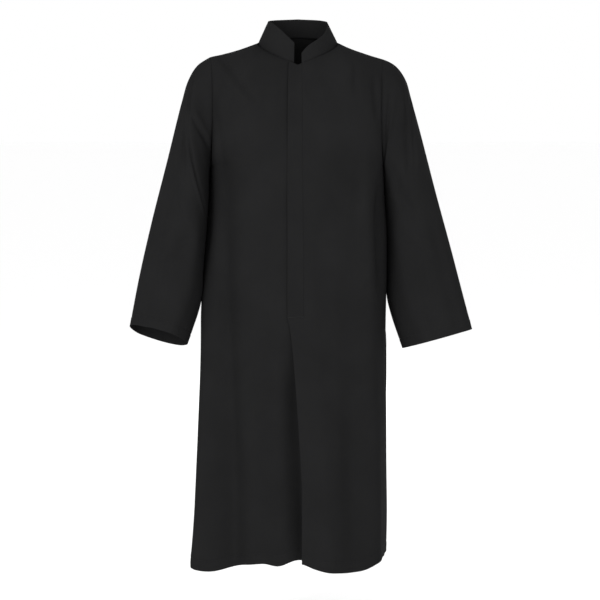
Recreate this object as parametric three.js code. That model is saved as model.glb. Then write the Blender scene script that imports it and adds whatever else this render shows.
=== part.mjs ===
// An imam robe (cubbe) as it hangs on a wearer: an ankle-length black gown with a stand collar, a concealed
// button fly, set-in wide sleeves and pockets in the side seams. Each piece of cloth is a thin wall.
//
// Millimetres, +Z up, the front faces -Y and +X is the wearer's left. The origin is the middle of the neck at
// the height of the shoulders, where the wearer holds the robe.

import * as THREE from 'three';

// ---- Driving dimensions ------------------------------------------------------------------------------------

const CLOTH = 2;               // wall of the panels and sleeves
const COLLAR_CLOTH = 2.4;      // the collar is two layers with a stiffener between them
const SEAM = 0.3;              // gap that parts two sewn pieces

const HEM_Z = -1238;
const UNDERARM_Z = -290;
const FLY_END_Z = -650;        // the fronts are free of each other below this
const LAP_SWING = 400;         // the left front's edge swings aside over this drop below the fly

const NECK_SIDE = { x: 94, y: 6, z: -3 };        // where the collar meets the shoulder seam
const NECK_FRONT = { y: -60, z: -55 };
const NECK_BACK = { y: 66, z: 10 };
const NECK_SHARE = 0.4;        // share of a panel's width that lies under the collar
const SHOULDER_TIP = { right: { x: 208, z: -35 }, left: { x: 204, z: -41 } };
const SHOULDER_Y = 5;
const SHOULDER_DIP = 3;        // the shoulder seam sags this much between its ends

const ARMHOLE_DEPTH = { front: 72, back: 70 };
const ARMHOLE_SCOOP = 8;       // how far the armhole curves in towards the chest

// How a panel bends from the chest to its top edge: powers of the way up for its width, its height and its depth,
// at the neck and at the armhole.
const YOKE_BEND = { width: 1.5, upNeck: 1.1, upSide: 0.9, backNeck: 2.2, backSide: 2.25, backRound: 0.4 };
const NECK_RISE_POWER = 0.85;  // how the front neckline climbs from the centre
const TURN_POWER = 0.85;       // how evenly the rows meet the armhole
const CHEST_FLAT = 0.17;       // share of a panel's width beside the centre with little fullness
const FOLDS_END = 0.8;         // the body's folds have run out at this share of the way up from the underarm

const LAP_LIFT = { fly: 4.2, hem: 20 };         // how far the left front lies outside the right one
const LAP_HOLD_DEG = 13;                        // the lift is whole up to this angle from the centre
const LAP_FALL_DEG = 24;                        // and runs out over this one
const LAP_EDGE = { fly: -24, hem: 9 };          // X of the left front's edge, above the fly's end and at the hem
const UNDERLAP_EDGE = { fly: 18, hem: 30 };     // X of the right front's edge under it
const SWING_POWER = 0.6;                        // how soon below the fly the edges swing aside
const COLLAR_END_DEG = 2.3;    // the collar stops this far either side of the centre front
const RING_POWER = 0.88;       // a body ring is a little squarer than an ellipse

// The body's rings: how far each reaches to the wearer's right and left, to the front and to the back.
const BODY_RINGS = [
  { z: -1238, right: 261, left: 210, front: 138, back: 150 },
  { z: -1094, right: 245, left: 212, front: 138, back: 147 },
  { z: -854, right: 231, left: 212, front: 137, back: 141 },
  { z: -700, right: 227, left: 211, front: 134, back: 135 },
  { z: -620, right: 227, left: 212, front: 132, back: 131 },
  { z: -540, right: 225, left: 214, front: 130, back: 127 },
  { z: -450, right: 219, left: 214, front: 127, back: 122 },
  { z: -350, right: 211, left: 207, front: 125, back: 118 },
  { z: -290, right: 208, left: 204, front: 124, back: 117 },
];

// Long folds of the body. An angle is measured round the body from the centre front, positive to the wearer's
// left, at the fold's start and at the hem. The depth is positive for a ridge and reached at full.
const BODY_FOLDS = [
  { start: 24, hem: 27, spread: 20, from: -560, full: -1238, depth: 24 },
  { start: 5, hem: 14, spread: 6, from: -330, full: -1150, depth: 8 },
  { start: 30, hem: 32, spread: 9, from: -380, full: -1100, depth: -9 },
  { start: 50, hem: 58, spread: 11, from: -300, full: -1200, depth: 15 },
  { start: -60, hem: -34, spread: 9, from: -60, full: -1100, depth: -24 },
  { start: -82, hem: -60, spread: 11, from: -200, full: -1238, depth: 30 },
  { start: -30, hem: -20, spread: 9, from: -330, full: -1000, depth: 8 },
  { start: 106, hem: 104, spread: 9, from: -330, full: -1238, depth: 12 },
  { start: 124, hem: 123, spread: 8, from: -260, full: -1238, depth: -15 },
  { start: 143, hem: 146, spread: 9, from: -300, full: -1238, depth: 13 },
  { start: 166, hem: 168, spread: 9, from: -220, full: -1238, depth: -13 },
  { start: -170, hem: -171, spread: 9, from: -300, full: -1238, depth: 11 },
  { start: -149, hem: -150, spread: 8, from: -240, full: -1238, depth: -15 },
  { start: -129, hem: -128, spread: 9, from: -330, full: -1238, depth: 14 },
  { start: -108, hem: -104, spread: 8, from: -380, full: -1238, depth: -11 },
];

// The right front alone sinks in below the fly, beneath the left one's free edge.
const UNDERLAP_FOLDS = [
  { start: -2.4, hem: 3, spread: 5, from: -640, full: -850, depth: -21 },
];

// How far the hem hangs above HEM_Z at each angle round the body.
const HEM_RISE = [
  { angle: -180, rise: 0 },
  { angle: -125, rise: 0 },
  { angle: -90, rise: -32 },
  { angle: -65, rise: -12 },
  { angle: -48, rise: -16 },
  { angle: -36, rise: -6 },
  { angle: -24, rise: 7 },
  { angle: -15, rise: 12 },
  { angle: -8, rise: 6 },
  { angle: 0, rise: 18 },
  { angle: 8, rise: 6 },
  { angle: 22, rise: -5 },
  { angle: 33, rise: -11 },
  { angle: 45, rise: -9 },
  { angle: 57, rise: 1 },
  { angle: 72, rise: 4 },
  { angle: 90, rise: 0 },
  { angle: 180, rise: 0 },
];

// Shorter folds that end above the hem, with the same columns and the height where each has run out.
const SHORT_FOLDS = [
  { start: 72, hem: 60, spread: 12, from: -285, full: -430, depth: -28, until: -660 },
  { start: -76, hem: -68, spread: 9, from: -290, full: -450, depth: -9, until: -640 },
  { start: 44, hem: 62, spread: 9, from: -220, full: -480, depth: 7, until: -700 },
];

// The sleeves' rings, from the armhole to the cuff: the outer and inner ends of each ring, its half depth, the
// place of its middle from front to back, and how many degrees its front stands higher than its back.
const SLEEVE_RINGS = {
  right: [
    { s: 0, outX: 208, outZ: -35, inX: 208, inZ: -290, depth: 71, y: 5, lean: 0 },
    { s: 0.05, outX: 237, outZ: -54, inX: 210, inZ: -310, depth: 71, y: 1, lean: 0 },
    { s: 0.12, outX: 259, outZ: -90, inX: 210, inZ: -335, depth: 72, y: -12, lean: 0 },
    { s: 0.2, outX: 272, outZ: -135, inX: 211, inZ: -365, depth: 73, y: -24, lean: 0 },
    { s: 0.4, outX: 309, outZ: -280, inX: 217, inZ: -445, depth: 74, y: -32, lean: 3 },
    { s: 0.6, outX: 345, outZ: -420, inX: 224, inZ: -530, depth: 74, y: -34, lean: 8 },
    { s: 0.8, outX: 376, outZ: -548, inX: 230, inZ: -612, depth: 71, y: -38, lean: 14 },
    { s: 1, outX: 399, outZ: -672, inX: 263, inZ: -712, depth: 66, y: -52, lean: 20 },
  ],
  left: [
    { s: 0, outX: 204, outZ: -41, inX: 204, inZ: -290, depth: 71, y: 5, lean: 0 },
    { s: 0.05, outX: 232, outZ: -57, inX: 206, inZ: -307, depth: 71, y: 9, lean: 0 },
    { s: 0.12, outX: 257, outZ: -90, inX: 206, inZ: -335, depth: 72, y: 18, lean: 0 },
    { s: 0.2, outX: 271, outZ: -135, inX: 207, inZ: -365, depth: 73, y: 28, lean: 0 },
    { s: 0.4, outX: 311, outZ: -282, inX: 212, inZ: -448, depth: 73, y: 34, lean: 1 },
    { s: 0.6, outX: 349, outZ: -424, inX: 213, inZ: -535, depth: 70, y: 32, lean: 3 },
    { s: 0.8, outX: 384, outZ: -553, inX: 216, inZ: -620, depth: 64, y: 18, lean: 5 },
    { s: 1, outX: 417, outZ: -682, inX: 251, inZ: -728, depth: 56, y: -15, lean: 7 },
  ],
};

// Folds of the sleeves: turn is the angle round the ring from its inner end (0) over the front (90) to the
// outer end (180) and on over the back, at the fold's two ends along the sleeve.
const SLEEVE_FOLDS = {
  right: [
    { from: 0.06, to: 0.42, turnFrom: 150, turnTo: 96, spread: 12, depth: -6 },
    { from: 0.46, to: 0.86, turnFrom: 60, turnTo: 112, spread: 14, depth: -5 },
    { from: 0.3, to: 1, turnFrom: 40, turnTo: 62, spread: 16, depth: 6 },
    { from: 0.4, to: 1, turnFrom: 125, turnTo: 118, spread: 14, depth: -6 },
    { from: 0.1, to: 0.7, turnFrom: 300, turnTo: 250, spread: 14, depth: -8 },
    { from: 0.35, to: 1, turnFrom: 215, turnTo: 225, spread: 16, depth: 5 },
  ],
  left: [
    { from: 0.06, to: 0.4, turnFrom: 140, turnTo: 92, spread: 12, depth: -6 },
    { from: 0.14, to: 0.62, turnFrom: 55, turnTo: 104, spread: 13, depth: -7 },
    { from: 0.3, to: 1, turnFrom: 45, turnTo: 70, spread: 15, depth: 6 },
    { from: 0.45, to: 1, turnFrom: 128, turnTo: 130, spread: 14, depth: -5 },
    { from: 0.1, to: 0.66, turnFrom: 305, turnTo: 255, spread: 14, depth: -8 },
    { from: 0.4, to: 1, turnFrom: 220, turnTo: 232, spread: 16, depth: 5 },
  ],
};

// The collar's top edge: way runs from the front end (0) past the shoulder seam (1) to the centre back (2). The
// wearer's right end stands up straight, and the left one is rounded off.
const COLLAR_EDGE = [
  { way: 0, right: -3, left: -27, narrow: 0.94 },
  { way: 0.1, right: 8, left: -13, narrow: 0.9 },
  { way: 0.3, right: 27, left: 1, narrow: 0.84 },
  { way: 0.6, right: 43, left: 17, narrow: 0.78 },
  { way: 1, right: 48, left: 43, narrow: 0.75 },
  { way: 1.4, right: 51, left: 50, narrow: 0.78 },
  { way: 2, right: 54, left: 54, narrow: 0.86 },
];

// A pocket's bag hangs behind the front from its mouth in the side seam. Its two layers are pressed together at
// its top and bottom and part in the middle; setIn is from the front's outer face to the bag.
const POCKET = {
  top: -640, bottom: -890, mouthTop: -690, mouthBottom: -840, cloth: 1, setIn: 2.8, parting: 1.8, pressed: 0.4,
};
const MOUTH = { lift: 3, drawIn: 0.12 };       // how far the front stands off the back's edge there, and draws in
const PLACKET = { cloth: 1, lift: 0.3, edgeIn: 0.06, topIn: 0.1 };
const COLLAR_LEAN = 0.6;       // how much of its narrowing the collar has from front to back
const SLEEVE_START = 0.2;      // share of a sleeve over which it leaves the armhole's own shape
const SLEEVE_ROW_POWER = 1.2;  // the sleeve's rows lie closer together near the armhole
const FOLD_ENDS = 3;           // a sleeve's fold grows and runs out over one part in this many of its length

// How finely each piece is faceted. The lap, neck and shoulder steps make up a front's width.
const STEPS = { skirt: 16, yoke: 12, lap: 2, neck: 6, shoulder: 9, sleeve: 16, collar: 3, pocket: 8 };

const CLOTH_COLOUR = 0x202021;

// ---- Small helpers -----------------------------------------------------------------------------------------

const SIDE_SIGN = { right: -1, left: 1 };
const FACE_SIGN = { front: -1, back: 1 };

const mix = (a, b, share) => a + (b - a) * share;
const clamp01 = (value) => Math.min(1, Math.max(0, value));
const smooth = (value) => {
  const v = clamp01(value);
  return v * v * (3 - 2 * v);
};
const degrees = (angle) => (angle * Math.PI) / 180;
const signedPower = (value, power) => Math.sign(value) * Math.abs(value) ** power;

// A value of a table's column at a place between its rows, on a smooth curve through them.
function along(rows, key, column, place) {
  const rising = rows[1][key] > rows[0][key] ? 1 : -1;
  let i = 0;
  while (i < rows.length - 2 && (place - rows[i + 1][key]) * rising > 0) i += 1;
  const [a, b] = [rows[i], rows[i + 1]];
  const slope = (from, to) => (to[column] - from[column]) / (to[key] - from[key]);
  const middle = slope(a, b);
  const before = i > 0 ? (slope(rows[i - 1], a) + middle) / 2 : middle;
  const after = i < rows.length - 2 ? (middle + slope(b, rows[i + 2])) / 2 : middle;
  const span = b[key] - a[key];
  const t = THREE.MathUtils.clamp((place - a[key]) / span, 0, 1);
  const rise = (2 * t ** 3 - 3 * t ** 2 + 1) * a[column] + (3 * t ** 2 - 2 * t ** 3) * b[column];
  return rise + (t ** 3 - 2 * t ** 2 + t) * span * before + (t ** 3 - t ** 2) * span * after;
}

// ---- The body's surface ------------------------------------------------------------------------------------

// The angle round a ring at which the body is X from the centre.
function angleAt(x, z) {
  const reach = along(BODY_RINGS, 'z', x < 0 ? 'right' : 'left', z);
  return Math.sign(x) * THREE.MathUtils.radToDeg(Math.asin((Math.abs(x) / reach) ** (1 / RING_POWER)));
}

function ringPoint(angle, z) {
  const [sine, cosine] = [Math.sin(degrees(angle)), Math.cos(degrees(angle))];
  const across = along(BODY_RINGS, 'z', sine < 0 ? 'right' : 'left', z);
  const deep = along(BODY_RINGS, 'z', cosine < 0 ? 'back' : 'front', z);
  const y = SHOULDER_Y - signedPower(cosine, RING_POWER) * (deep + SHOULDER_Y * Math.sign(cosine));
  return new THREE.Vector3(signedPower(sine, RING_POWER) * across, y, z);
}

// The direction in which the body faces at an angle round it.
function outward(angle, z) {
  const point = ringPoint(angle, z);
  const across = along(BODY_RINGS, 'z', point.x < 0 ? 'right' : 'left', z);
  const deep = along(BODY_RINGS, 'z', point.y < SHOULDER_Y ? 'front' : 'back', z);
  return new THREE.Vector3(point.x / across ** 2, (point.y - SHOULDER_Y) / deep ** 2, 0).normalize();
}

function foldHeight(angle, z, folds) {
  let height = 0;
  for (const fold of folds) {
    const way = clamp01((fold.from - z) / (fold.from - HEM_Z));
    const centre = mix(fold.start, fold.hem, way);
    const off = ((angle - centre + 540) % 360) - 180;
    const grown = smooth((fold.from - z) / (fold.from - fold.full));
    const left = 'until' in fold ? smooth((z - fold.until) / (fold.full - fold.until)) : 1;
    height += fold.depth * grown * left * Math.exp(-((off / fold.spread) ** 2));
  }
  return height;
}

// The top edge of a panel: the neckline up to NECK_SHARE of its width, then the shoulder seam.
function topEdge(side, face, share) {
  const sign = SIDE_SIGN[side];
  if (share <= NECK_SHARE) {
    const way = share / NECK_SHARE;
    const end = face === 'front' ? NECK_FRONT : NECK_BACK;
    const turn = (way * Math.PI) / 2;
    const y = NECK_SIDE.y + (end.y - NECK_SIDE.y) * Math.cos(turn);
    const rise = face === 'front' ? way ** NECK_RISE_POWER : 1 - Math.cos(turn);
    return new THREE.Vector3(sign * NECK_SIDE.x * Math.sin(turn), y, mix(end.z, NECK_SIDE.z, rise));
  }
  const way = (share - NECK_SHARE) / (1 - NECK_SHARE);
  const tip = SHOULDER_TIP[side];
  const dip = SHOULDER_DIP * Math.sin(Math.PI * way);
  return new THREE.Vector3(
    sign * mix(NECK_SIDE.x, tip.x, way), mix(NECK_SIDE.y, SHOULDER_Y, way), mix(NECK_SIDE.z, tip.z, way) - dip,
  );
}

const armholeTurn = (rise) => Math.PI * rise ** TURN_POWER;

// A panel above the underarm. Share runs from the centre of the body (0) to the armhole (1), and rise from the
// underarm (0) to the neckline and the shoulder seam (1).
function yokePoint(side, face, share, rise) {
  const angle = face === 'front' ? share * 90 : 180 - share * 90;
  const bottom = ringPoint(SIDE_SIGN[side] * angle, UNDERARM_Z);
  const top = topEdge(side, face, share);
  const turn = armholeTurn(rise);
  const quarter = Math.sin((rise * Math.PI) / 2);
  const overShoulder = smooth(share / NECK_SHARE);
  const atArmhole = smooth((share - NECK_SHARE) / (1 - NECK_SHARE));
  const upSide = mix(quarter ** YOKE_BEND.upSide, (1 - Math.cos(turn)) / 2, atArmhole);
  const up = mix(quarter ** YOKE_BEND.upNeck, upSide, overShoulder);
  const backSide = 1 - Math.max(0, 1 - quarter ** YOKE_BEND.backSide) ** YOKE_BEND.backRound;
  const back = mix(up ** YOKE_BEND.backNeck, backSide, overShoulder);
  const fullness = (Math.hypot(share, CHEST_FLAT) - CHEST_FLAT) / (Math.hypot(1, CHEST_FLAT) - CHEST_FLAT);
  const full = ARMHOLE_DEPTH[face] * Math.sin(turn) * fullness;
  const scoop = SIDE_SIGN[side] * ARMHOLE_SCOOP * Math.sin(turn) * atArmhole;
  return new THREE.Vector3(
    mix(bottom.x, top.x, rise ** YOKE_BEND.width) - scoop,
    mix(bottom.y, top.y, back) + FACE_SIGN[face] * full,
    mix(bottom.z, top.z, up),
  );
}

// Any point of the body. Row 0 is the hem, 1 the underarm and 2 the neckline and the shoulder seam.
function bodyPoint(face, angle, row) {
  const side = angle < 0 ? 'right' : 'left';
  const share = face === 'front' ? Math.abs(angle) / 90 : (180 - Math.abs(angle)) / 90;
  const rise = Math.max(0, row - 1);
  const hem = HEM_Z + along(HEM_RISE, 'angle', 'rise', angle);
  const point = row <= 1
    ? ringPoint(angle, mix(hem, UNDERARM_Z, row))
    : yokePoint(side, face, share, rise);
  const fade = (1 - smooth(rise / FOLDS_END)) * (1 - 0.8 * rise * smooth((share - 0.6) / 0.4));
  const push = foldHeight(angle, point.z, [...BODY_FOLDS, ...SHORT_FOLDS]) * fade;
  return point.addScaledVector(outward(angle, Math.min(point.z, UNDERARM_Z)), push);
}

// How far the left front stands off where it laps over the right one.
function lapLift(angle, z) {
  const free = smooth((FLY_END_Z - z) / LAP_SWING);
  return mix(LAP_LIFT.fly, LAP_LIFT.hem, free) * (1 - smooth((angle - LAP_HOLD_DEG) / LAP_FALL_DEG));
}

function leftFrontPoint(angle, row) {
  const point = bodyPoint('front', angle, row);
  const direction = outward(angle, Math.min(point.z, UNDERARM_Z));
  return point.addScaledVector(direction, lapLift(angle, point.z));
}

function rightFrontPoint(angle, row) {
  const point = bodyPoint('front', angle, row);
  const direction = outward(angle, Math.min(point.z, UNDERARM_Z));
  return point.addScaledVector(direction, foldHeight(angle, point.z, UNDERLAP_FOLDS));
}

// ---- Cloth walls -------------------------------------------------------------------------------------------

const keyOf = (point) => `${point.x.toFixed(2)},${point.y.toFixed(2)},${point.z.toFixed(2)}`;

// The corner points of each cell of a grid of rows, in order round it as seen from outside.
function cells(grid, closed) {
  const list = [];
  const width = grid[0].length;
  for (let r = 0; r < grid.length - 1; r += 1) {
    for (let c = 0; c < (closed ? width : width - 1); c += 1) {
      list.push([[r, c], [r, (c + 1) % width], [r + 1, (c + 1) % width], [r + 1, c]]);
    }
  }
  return list;
}

// The direction that a piece faces at each of its points.
function facings({ grid, closed }) {
  const normals = new Map();
  for (const corners of cells(grid, closed)) {
    const [a, b, c, d] = corners.map(([r, k]) => grid[r][k]);
    const normal = new THREE.Vector3().subVectors(c, a).cross(new THREE.Vector3().subVectors(d, b));
    for (const point of [a, b, c, d]) {
      const key = keyOf(point);
      if (!normals.has(key)) normals.set(key, new THREE.Vector3());
      normals.get(key).add(normal);
    }
  }
  return normals;
}

// Pieces that are sewn together share the direction of their walls along each seam, halfway between their own,
// so that their edges meet in a mitre.
function sharedNormals(pieces) {
  const shared = new Map();
  for (const piece of pieces) {
    for (const [key, normal] of facings(piece)) {
      if (!shared.has(key)) shared.set(key, new THREE.Vector3());
      shared.get(key).add(normal.normalize());
    }
  }
  for (const normal of shared.values()) normal.normalize();
  return shared;
}

// A closed wall of cloth whose outer face is the grid. The edges named in seams are drawn back by half a gap.
function wall(piece, normals) {
  const { grid, closed = false, seams = [], cloth } = piece;
  const [rows, width] = [grid.length, grid[0].length];
  const outer = grid.map((row) => row.map((point) => point.clone()));
  const inner = grid.map((row) => row.map(
    (point) => point.clone().addScaledVector(normals.get(keyOf(point)), -cloth),
  ));
  const drawBack = (edge, beside) => {
    const pull = new THREE.Vector3().subVectors(beside, edge).setLength(SEAM / 2);
    return edge.clone().add(pull);
  };
  for (const layer of [outer, inner]) {
    for (const { row } of seams.filter((seam) => 'row' in seam)) {
      const next = row === 0 ? 1 : rows - 2;
      layer[row] = layer[row].map((point, c) => drawBack(point, layer[next][c]));
    }
    for (const { column } of seams.filter((seam) => 'column' in seam)) {
      const next = column === 0 ? 1 : width - 2;
      for (const row of layer) row[column] = drawBack(row[column], row[next]);
    }
  }
  return closedWall(outer, inner, closed);
}

// The triangles of a wall from its outer and inner grids.
function closedWall(outer, inner, closed) {
  const [rows, width] = [outer.length, outer[0].length];
  const points = [...outer.flat(), ...inner.flat()];
  const index = [];
  const outerAt = (r, c) => r * width + (c % width);
  const innerAt = (r, c) => rows * width + outerAt(r, c);
  const quad = (a, b, c, d) => index.push(a, b, c, a, c, d);
  for (const [[r, c], [, next]] of cells(outer, closed)) {
    quad(outerAt(r, c), outerAt(r, next), outerAt(r + 1, next), outerAt(r + 1, c));
    quad(innerAt(r, c), innerAt(r + 1, c), innerAt(r + 1, next), innerAt(r, next));
  }
  for (let c = 0; c < (closed ? width : width - 1); c += 1) {
    quad(outerAt(0, c + 1), outerAt(0, c), innerAt(0, c), innerAt(0, c + 1));
    quad(outerAt(rows - 1, c + 1), innerAt(rows - 1, c + 1), innerAt(rows - 1, c), outerAt(rows - 1, c));
  }
  if (!closed) {
    for (let r = 0; r < rows - 1; r += 1) {
      quad(outerAt(r, 0), outerAt(r + 1, 0), innerAt(r + 1, 0), innerAt(r, 0));
      quad(outerAt(r, width - 1), innerAt(r, width - 1), innerAt(r + 1, width - 1), outerAt(r + 1, width - 1));
    }
  }
  const geometry = new THREE.BufferGeometry();
  geometry.setAttribute('position', new THREE.Float32BufferAttribute(points.flatMap((p) => p.toArray()), 3));
  geometry.setIndex(index);
  geometry.computeVertexNormals();
  return geometry;
}

// ---- The panels --------------------------------------------------------------------------------------------

const skirtRows = Array.from({ length: STEPS.skirt }, (_, k) => k / STEPS.skirt);
const yokeRises = Array.from({ length: STEPS.yoke + 1 }, (_, k) => k / STEPS.yoke);
const bodyRows = [...skirtRows, ...yokeRises.map((rise) => 1 + rise)];
const zOfRow = (row) => mix(HEM_Z, UNDERARM_Z, Math.min(1, row));

// Angles in even steps from one to the next of a list of stops.
function spread(stops, counts) {
  const list = [stops[0]];
  counts.forEach((count, k) => {
    for (let step = 1; step <= count; step += 1) list.push(mix(stops[k], stops[k + 1], step / count));
  });
  return list;
}

// The angles of a front's columns from its free edge to the side seam, for an edge at X. The edge swings aside
// below the fly, and the columns follow it less and less towards the side.
function frontAngles(edge, sign, row) {
  const z = zOfRow(row);
  const swing = clamp01((FLY_END_Z - z) / LAP_SWING) ** SWING_POWER;
  const here = sign * angleAt(mix(edge.fly, edge.hem, swing), z);
  const above = sign * angleAt(edge.fly, UNDERARM_Z);
  const stops = [above, COLLAR_END_DEG, NECK_SHARE * 90, 90];
  return spread(stops, [STEPS.lap, STEPS.neck, STEPS.shoulder])
    .map((angle) => sign * (90 - ((90 - angle) * (90 - here)) / (90 - above)));
}

function frontGrid(side) {
  const isLeft = side === 'left';
  const edge = isLeft ? LAP_EDGE : UNDERLAP_EDGE;
  return bodyRows.map((row) => {
    const z = zOfRow(row);
    const points = frontAngles(edge, SIDE_SIGN[side], row)
      .map((angle) => (isLeft ? leftFrontPoint(angle, row) : rightFrontPoint(angle, row)));
    if (z < POCKET.mouthTop && z > POCKET.mouthBottom) {
      const [beside, mouth] = points.slice(-2);
      mouth.lerp(beside, MOUTH.drawIn).addScaledVector(outward(SIDE_SIGN[side] * 90, z), MOUTH.lift);
    }
    return isLeft ? points : points.reverse();
  });
}

function backGrid() {
  const neck = NECK_SHARE * 90;
  const stops = [90, 180 - neck, 180, 180 + neck, 270];
  const angles = spread(stops, [STEPS.shoulder, STEPS.neck, STEPS.neck, STEPS.shoulder]);
  const signed = angles.map((angle) => (angle > 180 ? angle - 360 : angle));
  return bodyRows.map((row) => signed.map((angle) => bodyPoint('back', angle, row)));
}

// ---- The sleeves -------------------------------------------------------------------------------------------

// A point of a sleeve: way runs from the armhole (0) to the cuff (1), and turn round the ring in degrees from its
// inner end over the front.
function sleeveRing(side, way, turn) {
  const at = (column) => along(SLEEVE_RINGS[side], 's', column, way);
  const sign = SIDE_SIGN[side];
  const outerEnd = new THREE.Vector3(sign * at('outX'), at('y'), at('outZ'));
  const innerEnd = new THREE.Vector3(sign * at('inX'), at('y'), at('inZ'));
  const half = new THREE.Vector3().subVectors(outerEnd, innerEnd).multiplyScalar(0.5);
  const middle = new THREE.Vector3().addVectors(outerEnd, innerEnd).multiplyScalar(0.5);
  const lean = degrees(at('lean'));
  const forward = new THREE.Vector3(0, -Math.cos(lean), Math.sin(lean)).multiplyScalar(at('depth'));
  const [across, deep] = [-Math.cos(degrees(turn)), Math.sin(degrees(turn))];
  const point = middle.addScaledVector(half, across).addScaledVector(forward, deep);
  const facing = half.clone().multiplyScalar(across / half.lengthSq())
    .addScaledVector(forward, deep / forward.lengthSq()).normalize();
  return { point, facing };
}

function sleeveFold(side, way, turn) {
  let height = 0;
  for (const fold of SLEEVE_FOLDS[side]) {
    const share = (way - fold.from) / (fold.to - fold.from);
    const grown = smooth(share * FOLD_ENDS) * (fold.to === 1 ? 1 : smooth((1 - share) * FOLD_ENDS));
    const off = turn - mix(fold.turnFrom, fold.turnTo, clamp01(share));
    height += fold.depth * grown * Math.exp(-((off / fold.spread) ** 2));
  }
  return height;
}

// The armhole, round from the underarm over the front to the shoulder and down the back.
function armhole(side) {
  const angle = SIDE_SIGN[side] * 90;
  const rising = yokeRises.map((rise) => ({
    point: bodyPoint('front', angle, 1 + rise), turn: THREE.MathUtils.radToDeg(armholeTurn(rise)),
  }));
  const falling = yokeRises.slice(1, -1).reverse().map((rise) => ({
    point: bodyPoint('back', angle, 1 + rise), turn: 360 - THREE.MathUtils.radToDeg(armholeTurn(rise)),
  }));
  return [...rising, ...falling];
}

function sleeveGrid(side) {
  const start = armhole(side);
  const rows = [];
  for (let k = STEPS.sleeve; k >= 0; k -= 1) {
    const way = (k / STEPS.sleeve) ** SLEEVE_ROW_POWER;
    const ring = start.map(({ point, turn }) => {
      if (k === 0) return point.clone();
      const here = sleeveRing(side, way, turn);
      const apart = point.clone().sub(sleeveRing(side, 0, turn).point);
      const left = 1 - smooth(way / SLEEVE_START);
      return here.point.addScaledVector(apart, left).addScaledVector(here.facing, sleeveFold(side, way, turn));
    });
    rows.push(side === 'left' ? ring : ring.reverse());
  }
  return rows;
}

// ---- The collar --------------------------------------------------------------------------------------------

// The collar's foot runs along the panels' top edges from the left end round the back to the right end.
function collarGrid(leftFront, back, rightFront) {
  const { lap, neck, shoulder, collar } = STEPS;
  const top = bodyRows.length - 1;
  const foot = [];
  const add = (point, side, way) => foot.push({ point, side, way });
  for (let k = 0; k <= neck; k += 1) add(leftFront[top][lap + k], 'left', k / neck);
  for (let k = 1; k <= neck; k += 1) add(back[top][shoulder + k], 'left', 1 + k / neck);
  for (let k = 1; k <= neck; k += 1) add(back[top][shoulder + neck + k], 'right', 2 - k / neck);
  for (let k = 1; k <= neck; k += 1) add(rightFront[top][shoulder + k], 'right', 1 - k / neck);
  return Array.from({ length: collar + 1 }, (_, k) => foot.map(({ point, side, way }) => {
    const narrow = along(COLLAR_EDGE, 'way', 'narrow', way);
    const edge = new THREE.Vector3(
      point.x * narrow, NECK_SIDE.y + (point.y - NECK_SIDE.y) * mix(1, narrow, COLLAR_LEAN),
      along(COLLAR_EDGE, 'way', side, way),
    );
    return point.clone().lerp(edge, k / collar);
  }));
}

// ---- What lies on the panels or inside them ----------------------------------------------------------------

const offset = (point, normals, distance) => point.clone().addScaledVector(normals.get(keyOf(point)), distance);

// The fly's strip lies on the left front's lap, from the fly's end up to the neckline.
function placketWall(leftFront, normals) {
  const first = bodyRows.findIndex((row) => zOfRow(row) > FLY_END_Z);
  const strip = leftFront.slice(first).map((row) => row.slice(0, STEPS.lap + 1));
  const layer = (distance) => {
    const rows = strip.map((row) => row.map((point) => offset(point, normals, distance)));
    const last = rows.length - 1;
    rows[last] = rows[last].map((point, c) => point.clone().lerp(rows[last - 1][c], PLACKET.topIn));
    return rows.map((row) => [row[0].clone().lerp(row[1], PLACKET.edgeIn), ...row.slice(1)]);
  };
  return closedWall(layer(PLACKET.lift + PLACKET.cloth), layer(PLACKET.lift), false);
}

// A pocket's bag: the back layer runs in from the side seam, turns and comes back as the front layer.
function pocketWall(front, side, normals) {
  const rows = front.filter((_, r) => zOfRow(bodyRows[r]) < POCKET.top && zOfRow(bodyRows[r]) > POCKET.bottom);
  const fromSide = side === 'left' ? (row) => [...row].reverse() : (row) => row;
  const layers = rows.map((row, r) => {
    const columns = fromSide(row).slice(0, STEPS.pocket + 1);
    const parting = mix(POCKET.pressed, POCKET.parting, Math.sin((Math.PI * r) / (rows.length - 1)));
    const near = POCKET.setIn;
    const far = near + 2 * POCKET.cloth + parting;
    const layer = (distance) => columns.map((point) => offset(point, normals, -distance));
    const last = columns.length - 1;
    const turned = (distance) => {
      const edge = offset(columns[last], normals, -(near + far) / 2);
      const beyond = new THREE.Vector3().subVectors(columns[last], columns[last - 1]).setLength(distance);
      return edge.add(beyond);
    };
    const outer = [...layer(far), turned(2 * POCKET.cloth), ...layer(near).reverse()];
    const inner = [...layer(far - POCKET.cloth), turned(POCKET.cloth), ...layer(near + POCKET.cloth).reverse()];
    return side === 'left' ? { outer, inner } : { outer: outer.reverse(), inner: inner.reverse() };
  });
  return closedWall(layers.map(({ outer }) => outer), layers.map(({ inner }) => inner), false);
}

// ---- The robe ----------------------------------------------------------------------------------------------

const cloth = new THREE.MeshStandardMaterial({ color: CLOTH_COLOUR, roughness: 0.85, metalness: 0 });

const leftFront = frontGrid('left');
const rightFront = frontGrid('right');
const back = backGrid();
const topRow = bodyRows.length - 1;
const lastColumn = leftFront[0].length - 1;

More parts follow.
